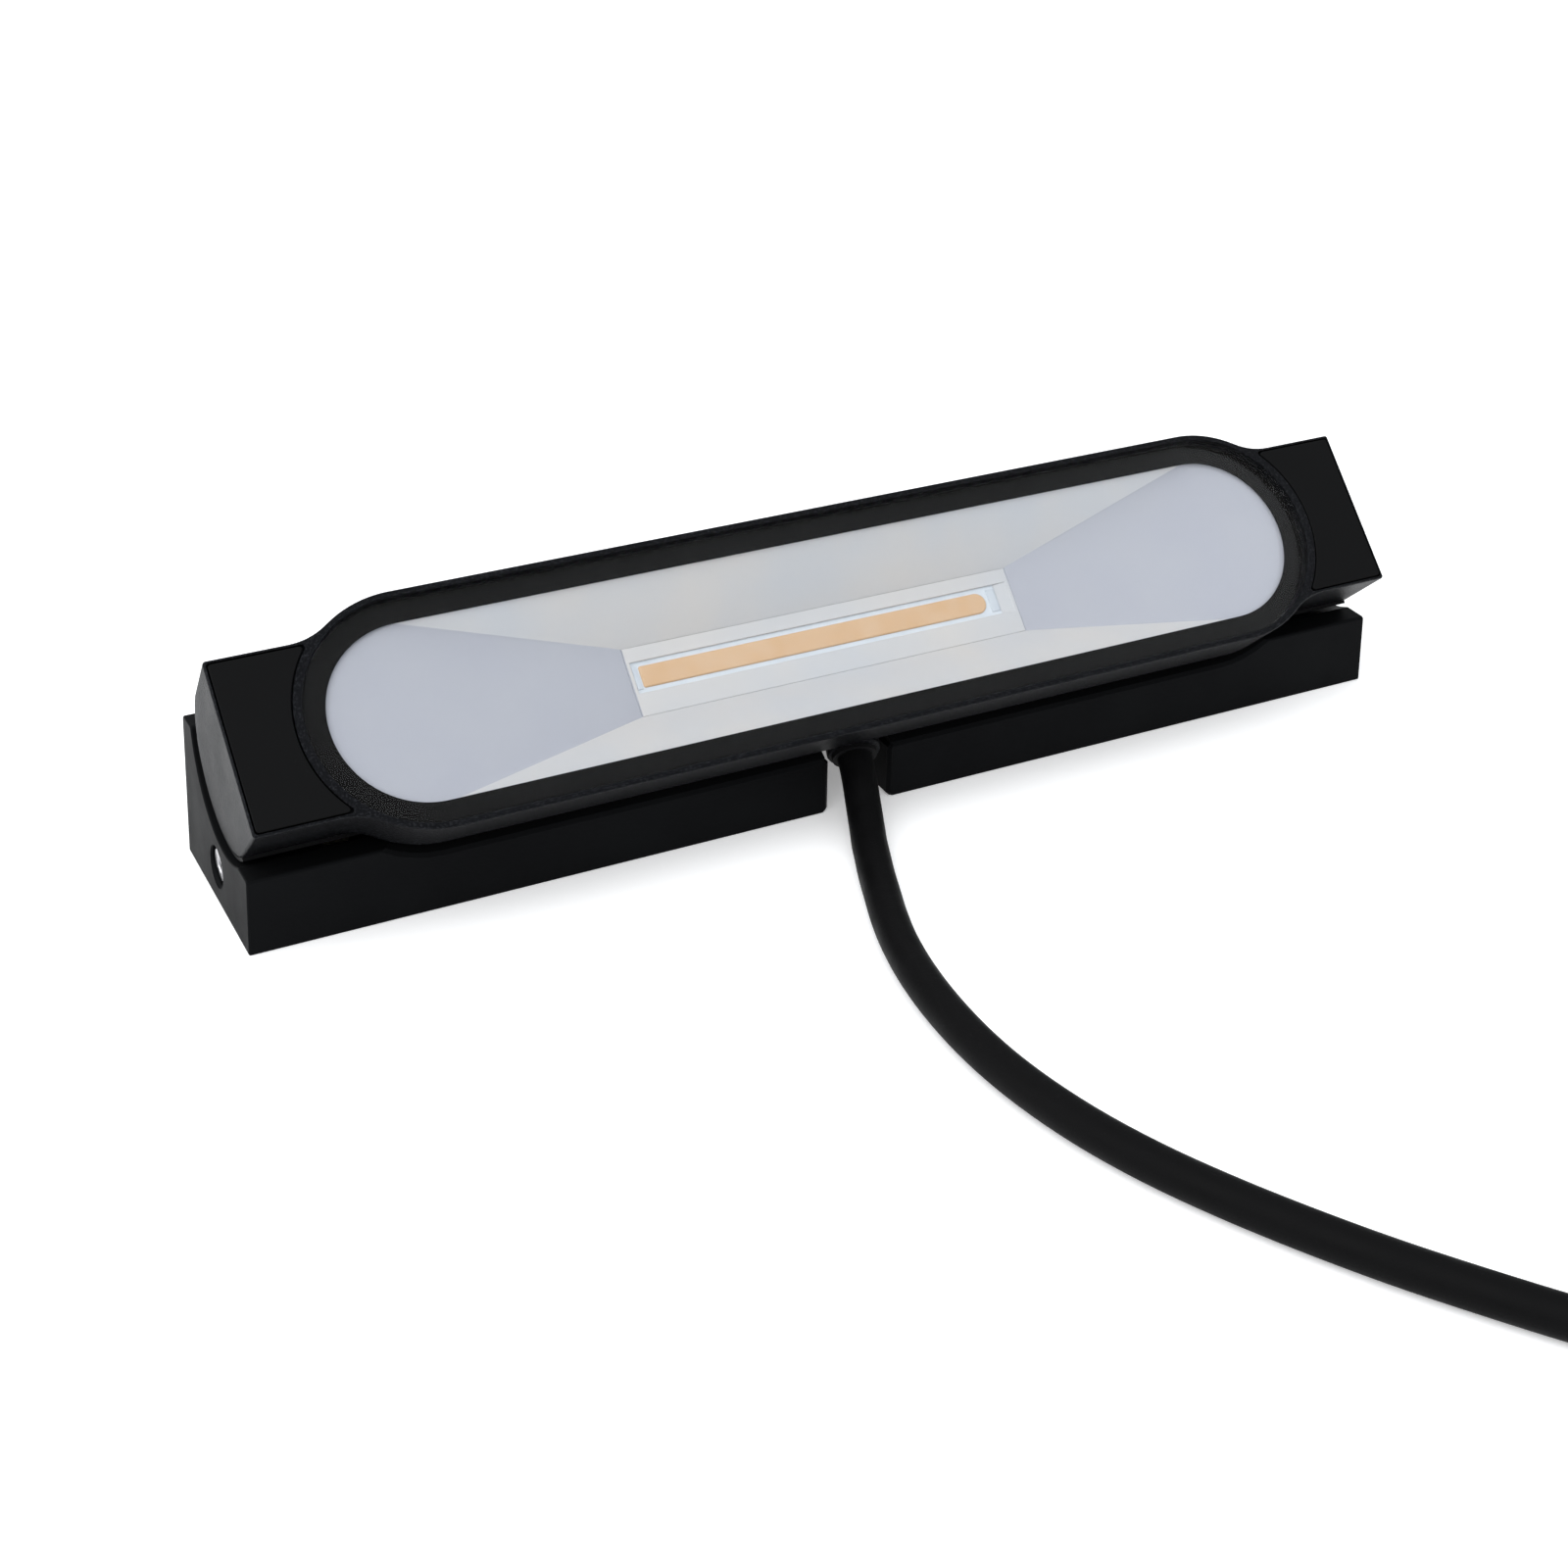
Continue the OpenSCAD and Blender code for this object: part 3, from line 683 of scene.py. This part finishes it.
def notch_cutter(edge=0.7):
    """The cable notch, wider where it leaves the front face, the underside and the recess."""
    turns = [math.radians(18 * i) for i in range(6)]
    levels = [(-1, edge)] + [(edge * math.sin(a), edge * (1 - math.sin(a))) for a in turns]
    levels += [(RECESS_HEIGHT - z, wider) for z, wider in levels[:0:-1]] + [(40, edge)]
    rings = []
    for z, wider in levels:
        side = NOTCH_HALF + wider
        right = [(side + edge, BASE_FRONT - 1)]
        right += [(side + edge * (1 - math.sin(a)), BASE_FRONT + edge * math.sin(a)) for a in turns]
        right += [(side, NOTCH_END)]
        rings.append([(x, y, z) for x, y in right]
                     + [(-x, y, z) for x, y in right[::-1]])
    return loft("cut", rings)


def make_base():
    """The wedge-like casting, hollow below, with its cradle, recess, notch, slots and bores."""
    front_in = circle_side(CRADLE_R, FRONT_HEIGHT, -1)
    back_in = circle_side(CRADLE_R, BACK_HEIGHT, 1)
    cradle = cradle_arc(CRADLE_R, front_in, FRONT_HEIGHT, back_in, BACK_HEIGHT, 40)
    profile = round_corners([(BASE_BACK, 0, 0.25), (BASE_BACK, BACK_HEIGHT, 1.1),
                             (*cradle[-1], 0.8), *cradle[-3:1:-1], (*cradle[0], 0.7),
                             (BASE_FRONT, FRONT_HEIGHT, 0.7), (BASE_FRONT, 0, 0.25)])
    base = prism("base_casting", profile, -BASE_HALF, BASE_HALF, END_DRAFT, 0.35)
    inside = BASE_HALF - END_WALL
    for side in (-1, 1):
        near, far = side * (NOTCH_HALF + BASE_WALL), side * inside
        cavity = prism("cut", cavity_profile(BASE_FRONT + BASE_WALL), min(near, far),
                       max(near, far))
        combine(base, cavity, "DIFFERENCE")
    combine(base, prism("cut", cavity_profile(NOTCH_END + BASE_WALL), -12, 12), "DIFFERENCE")
    for side in (-1, 1):
        x = side * RAIL_X
        web, flange = curved_slot(15, 23, -24, 42), curved_slot(21.8, 24.6, -27, 2)
        combine(base, prism("cut", web, x - WEB_HALF, x + WEB_HALF), "DIFFERENCE")
        combine(base, prism("cut", flange, x - FLANGE_HALF, x + FLANGE_HALF), "DIFFERENCE")
        turn = Matrix.Translation((side * (BASE_HALF - 8), 0, END_SCREW_Z)) \
            @ Matrix.Rotation(side * math.radians(90), 4, "Y")
        bore = [(2.2, -2), (2.2, 2.9), (4, 2.9), (4, 7.1), (4.4, 7.6), (4.4, 12)]
        combine(base, lathe("cut", bore, turn, 40), "DIFFERENCE")
    combine(base, recess_cutter(), "DIFFERENCE")
    combine(base, notch_cutter(), "DIFFERENCE")
    clean(base)
    dress(base, "base", base_black.material, "black_casting", "base_housing", angle=24)


def make_end_screws():
    """The socket screws, deep in the base's two end faces."""
    for side, word in ((-1, "left"), (1, "right")):
        turn = Matrix.Translation((side * (BASE_HALF - 5.1), 0, END_SCREW_Z)) \
            @ Matrix.Rotation(side * math.radians(90), 4, "Y")
        head = [(2, -5.9), (2, 0), (3.3, 0), (3.5, 0.2), (3.5, 3.5), (3.35, 3.85), (3.0, 4)]
        screw = lathe("end_screw_" + word, head, turn, 40)
        socket = lathe("cut", [(1.45, 1.8), (1.45, 3.7), (1.8, 4.4)], turn, 6)
        combine(screw, socket, "DIFFERENCE")
        dress(screw, "base", steel.material, "screw_steel", "end_screws", angle=30)


# ---- head ----

def flank(z):
    """Half the height of the ear's body at a depth, as its sides lean in towards the back."""
    return EAR_V - (FRONT_Z - z) * (EAR_V - SIDE_V) / (FRONT_Z - SIDE_Z)


def half_height(x):
    """Half the height of the head's front at a place along the lamp."""
    x = abs(x)
    if x <= RING_HALF:
        return RING_R
    if x <= TOUCH_X:
        return math.sqrt(RING_R**2 - (x - RING_HALF) ** 2)
    if x <= NECK_X:
        return EAR_V + NECK_R - math.sqrt(NECK_R**2 - (NECK_X - x) ** 2)
    return EAR_V


def head_section(x):
    """The head's outline across X, (Y, Z) points, half of it and then its mirror image."""
    step = half_height(x) - EAR_V
    corner, low_corner = 0.55, 0.7
    edge = min(low_corner, step / 2)
    waist_z = 5
    half = []
    for a in ROUNDING:
        z = FRONT_Z - corner * (1 - math.sin(math.radians(a)))
        half.append((flank(z) + step - corner * (1 - math.cos(math.radians(a))), z))
    half.append((flank(waist_z) + step, waist_z))
    for a in ROUNDING[::-1]:
        z = RING_BACK + low_corner * (1 - math.sin(math.radians(a)))
        half.append((flank(z) + step - edge * (1 - math.cos(math.radians(a))), z))
    for share, z in ((0.06, -1.02), (0.02, -1.12), (0.004, -1.3), (0, -1.6)):
        half.append((flank(z) + step * share, z))
    side_angle = math.degrees(math.atan2(SIDE_V, -SIDE_Z))
    for i in range(15):
        a = math.radians(side_angle * (1 - i / 14))
        half.append((ARC_R * math.sin(a), -ARC_R * math.cos(a)))
    mirrored = [(-y, z) for y, z in half[-2::-1]]
    return (half + mirrored)[::-1]


def head_stations():
    """Places along the lamp, from the right end, with how far in the outline is drawn there."""
    end = 0.6
    found = []
    for a in ROUNDING:
        s = math.radians(a)
        found.append((HEAD_HALF - end * (1 - math.sin(s)), end * (1 - math.cos(s))))
    found += [(NECK_X + (TOUCH_X - NECK_X) * i / 8, 0) for i in range(8)]
    found += [(TOUCH_X + (RING_HALF - TOUCH_X) * (i / 10), 0) for i in range(11)]
    found += [(RING_HALF / 3, 0)]
    return found + [(-x, d) for x, d in found[::-1]]


def stepped_stadium(name, levels):
    """A stadium whose radius changes with height."""
    return loft(name, [[(x, y, z) for x, y in stadium(r)] for r, z in levels], HEAD)


def cover_loop(side, gap):
    """A cover plate's outline: square outside, hollowed by the ring inside."""
    top, outer, ring = 16.1 + gap, 122.4 + gap, 23.9 - gap
    tip, corner = 0.6, 0.7
    x = RING_HALF + math.sqrt((ring + tip) ** 2 - (top - tip) ** 2)
    lean = math.degrees(math.atan2(top - tip, x - RING_HALF))
    loop = arc(outer - corner, -top + corner, corner, -90, 0, 5)
    loop += arc(outer - corner, top - corner, corner, 0, 90, 5)
    loop += arc(x, top - tip, tip, 90, 180 + lean, 6)
    loop += arc(RING_HALF, 0, ring, lean, -lean, 24)[1:-1]
    loop += arc(x, -top + tip, tip, 180 - lean, 270, 6)
    return loop if side > 0 else [(-px, py) for px, py in loop[::-1]]


def make_head():
    """The head casting with its cable boss, opened for the window, the covers and the inside."""
    rings = [[(x, *p) for p in inset(head_section(x), d)] for x, d in head_stations()]
    head = loft("head_casting", rings, HEAD)
    turn = BOSS @ Matrix.Rotation(math.radians(-90), 4, "X")
    boss = lathe("join", [(4.9, 0), (5.2, 0.12), (BOSS_R, 0.5), (BOSS_R, 11)], turn)
    combine(head, boss, "UNION")
    combine(head, stepped_stadium("cut", [
        (18.8, 1), (18.8, 7.4), (20.2, 7.5), (20.2, 8.6), (GLASS_R + 0.12, 8.6),
        (GLASS_R + 0.12, 11.3), (GLASS_R + 0.34, 11.52), (GLASS_R + 0.34, 13)]), "DIFFERENCE")
    for side in (-1, 1):
        pocket = cover_loop(side, 0.25)
        wide = cover_loop(side, 0.37)
        rings = [[(x, y, z) for x, y in loop] for loop, z in
                 ((pocket, 10.15), (pocket, 11.38), (wide, 11.52), (wide, 13))]
        combine(head, loft("cut", rings, HEAD), "DIFFERENCE")
    barrel = [[(x, y, z) for y, z in arc(0, 0, 14.1, 148.3, 391.7, 44)]
              for x in (-108.5, 108.5)]
    combine(head, loft("cut", barrel, HEAD), "DIFFERENCE")
    combine(head, lathe("cut", [(4.8, -6), (4.8, 0), (4.5, 0), (4.5, 14)], turn), "DIFFERENCE")
    clean(head)
    dress(head, "head", cast_black.material, "black_casting", "head_housing", angle=24)


def make_covers():
    """The flat plates on the head's ears."""
    for side, word in ((-1, "left"), (1, "right")):
        plate = slab("cover_" + word, cover_loop(side, 0), COVER_BACK, COVER_FRONT, HEAD,
                     edge=0.22)
        dress(plate, "head", cover_black.material, "cover_black", "cover_plate_" + word)


def make_glass_piece():
    """The pane, and under it the black print round the window."""
    pane = slab("window_glass", stadium(GLASS_R, steps=40), GLASS_BOTTOM, GLASS_TOP, HEAD,
                edge=0.12, low_edge=0.12)
    dress(pane, "head", make_glass(), "clear_glass", "front_glass")
    outer, inner = stadium(GLASS_R - 0.1, steps=40), stadium(WINDOW_R, steps=40)
    rings = [[(x, y, z) for x, y in loop] for loop, z in
             ((outer, BORDER_TOP), (inner, BORDER_TOP),
              (inner, BORDER_BOTTOM), (outer, BORDER_BOTTOM))]
    border = loft("window_border", rings, HEAD, closed=True)
    dress(border, "head", border_black.material, "border_print", "glass_border")


def reflector_loop(half_x, half_y, r, half, z, share, low=0.0):
    """A loop between the floor's rectangle (share 0), moved down by low, and the rim (share 1)."""
    loop = []
    for way in (1, -1):
        for i in range(FAN_STEPS):
            t = -1 + 2 * i / FAN_STEPS
            a = math.radians(90 * t)
            box = (half_x, half_y * t)
            rim = (half + r * math.cos(a), r * math.sin(a))
            loop.append([way * (b + (c - b) * share) for b, c in zip(box, rim)])
        for i in range(WALL_STEPS):
            t = 1 - 2 * i / WALL_STEPS
            loop.append([way * (half_x + (half - half_x) * share) * t,
                         way * (half_y + (r - half_y) * share)])
    return [(x, y - low * (1 - share), z) for x, y in loop]


def make_reflector():
    """The floor with its slot, then the walls and the two fans up to the rim, then the back."""
    rim_r = WINDOW_R + 0.2
    floor_z, rim_z = 0.5, 8.6
    size = (FLOOR_X, FLOOR_Y, rim_r, RING_HALF)
    slot_x, slot_y, ramp_x, floor_low = 42.0, 3.2, 39.2, 0.85
    slot = reflector_loop(slot_x, slot_y, rim_r, RING_HALF, 0.1, 0)
    rings = [[(min(x, ramp_x), y, z) for x, y, z in slot]]
    for grow, z in ((0, floor_z - 0.12), (0.04, floor_z - 0.04), (0.12, floor_z)):
        rings.append(reflector_loop(slot_x + grow, slot_y + grow, rim_r, RING_HALF, z, 0))
    floor_rings = len(rings)
    for share, rise in ((0, 0), (0.003, -0.2), (0.007, 0.0), (0.03, 0.18)):
        rings.append(reflector_loop(*size, floor_z + rise, share, floor_low))
    rings += [reflector_loop(*size, floor_z + (rim_z - floor_z) * s, s, floor_low)
              for s in (0.06, 0.15, 0.3, 0.45, 0.6, 0.75, 0.88, 0.97)]
    rings.append(reflector_loop(*size, rim_z, 1))
    lip_r, lip, back_z = 20.0, 1.1, 0.1
    wide = (BACK_X, BACK_Y, lip_r, RING_HALF)
    rings.append(reflector_loop(*wide, rim_z, 1))
    rings.append(reflector_loop(*wide, rim_z - lip, 1))
    back = (BACK_X, BACK_Y, rim_r + 1, RING_HALF)
    rings += [reflector_loop(*back, rim_z - lip + (back_z - rim_z + lip) * (1 - s), s)
              for s in (1, 0.66, 0.33, 0)]
    shell = loft("reflector_shell", rings, HEAD, closed=True)
    dress(shell, "head", wall_white_painted_light.material, "white_plastic", "reflector", angle=24)
    # the fans take the darker, bluer copy of the white (painted shade), the walls the lighter one
    # (painted light)
    shell.data.materials.append(fan_white_painted_shade.material)
    half_ring = FAN_STEPS + WALL_STEPS
    for polygon in shell.data.polygons:
        on_fan = polygon.index % half_ring < FAN_STEPS
        if on_fan and polygon.index >= floor_rings * 2 * half_ring:
            polygon.material_index = 1


def make_phosphor():
    """The orange strip, square at its left end and round at its right end."""
    left, right, r = -40.5, 36.4, 2.2
    loop = arc(right - r, 0, r, -90, 90, 12) + arc(left + 0.4, r - 0.4, 0.4, 90, 180, 3)
    loop += arc(left + 0.4, -r + 0.4, 0.4, 180, 270, 3)
    rings = [[(x, y, z) for x, y in inset(loop, d)] for d, z in
             ((0, 0), (0, 0.14), (0.06, 0.25), (0.2, 0.34), (0.38, 0.38))]
    strip = loft("phosphor_strip", rings, HEAD)
    dress(strip, "head", phosphor.material, "phosphor", "led_phosphor")


def make_pads():
    """The contact pads beyond the strip's ends."""
    for word, x0, x1 in (("left", -41.9, -40.8), ("right", 37.2, 39.0)):
        loop = [(x0, -2.4), (x1, -2.4), (x1, 2.4), (x0, 2.4)]
        pad = slab("led_pad_" + word, loop, 0, 0.2, HEAD, edge=0.08)
        dress(pad, "head", tin.material, "pad_metal", "led_pads")


# ---- carried-over CAD nodes ----

def paint_nodes():
    """Materials for the pieces that stay the CAD's own."""
    looks = {
        "mounting_plate": zinc, "brake_blocks": acetal, "arc_liner_left": liner_black,
        "arc_liner_right": liner_black, "arc_rail_left": rail_steel, "arc_rail_right": rail_steel,
        "rail_screws": steel, "glass_gasket": rubber, "led_board": board_white,
        "thermal_pad": pad_grey, "heat_spreader": aluminium, "spreader_screws": steel,
        "driver_board": circuit_green, "driver_coil": copper, "driver_capacitor": sleeve,
        "driver_chips": epoxy, "board_screws": steel, "internal_leads": lead_red,
        "cable_grommet": rubber, "cable_tail": cord_rubber, "connector_pins": brass,
    }
    for name, look in looks.items():
        mesh = nodes[name].data
        mesh.materials.clear()
        mesh.materials.append(look.material)


# ---- stage ----

def make_stage():
    """A white floor under a bright sky, with a soft sun and a lamp at the left end."""
    half, level = 4000, -0.05
    floor = add_mesh("floor", [(-half, -half, level), (half, -half, level), (half, half, level),
                               (-half, half, level)], [(0, 1, 2, 3)])
    paper = Paint("paper", (0.94, 0.94, 0.94), 0.9, specular=0.1)
    paper.vary(900, (0.92, 0.92, 0.925), 0.02)
    paper.shader.inputs["Emission Color"].default_value = (1, 1, 1, 1)
    paper.shader.inputs["Emission Strength"].default_value = 0.27
    floor.data.materials.append(paper.material)
    world = bpy.data.worlds.new("studio")
    scene.world = world
    world.use_nodes = True
    tree = world.node_tree
    sky = tree.nodes["Background"]
    sky.inputs["Color"].default_value = (0.96, 0.98, 1.0, 1)
    axes = tree.nodes.new("ShaderNodeSeparateXYZ")
    tree.links.new(tree.nodes.new("ShaderNodeTexCoord").outputs["Generated"],
                   axes.inputs["Vector"])
    rise = tree.nodes.new("ShaderNodeMapRange")
    rise.inputs["From Min"].default_value = 0.1
    rise.inputs["To Min"].default_value = 0.45
    rise.inputs["To Max"].default_value = 1.35
    tree.links.new(axes.outputs["Z"], rise.inputs["Value"])
    tree.links.new(rise.outputs["Result"], sky.inputs["Strength"])
    sun = bpy.data.lights.new("key", "SUN")
    sun.energy = 1.6
    sun.angle = math.radians(70)
    key = bpy.data.objects.new("key", sun)
    key.matrix_world = Vector((-0.62, -0.3, 0.8)).to_track_quat("Z", "Y").to_matrix().to_4x4()
    scene.collection.objects.link(key)
    lamp = bpy.data.lights.new("side", "AREA")
    lamp.shape = "RECTANGLE"
    lamp.size, lamp.size_y = 0.7, 0.4
    lamp.energy = 1.4
    side = bpy.data.objects.new("side", lamp)
    where = Vector((-0.75, 0.35, 0.28))
    aim = (where - Vector((-0.1, 0, 0.02))).to_track_quat("Z", "Y").to_matrix().to_4x4()
    side.matrix_world = Matrix.Translation(where) @ aim
    scene.collection.objects.link(side)
    scene.view_settings.view_transform = "Standard"


set_camera()
cord, cord_path, cord_exit = make_cord()
on_cord = make_connector() + [make_tie()]
make_base()
make_end_screws()
make_head()
make_covers()
make_glass_piece()
make_reflector()
make_phosphor()
make_pads()
paint_nodes()
make_stage()
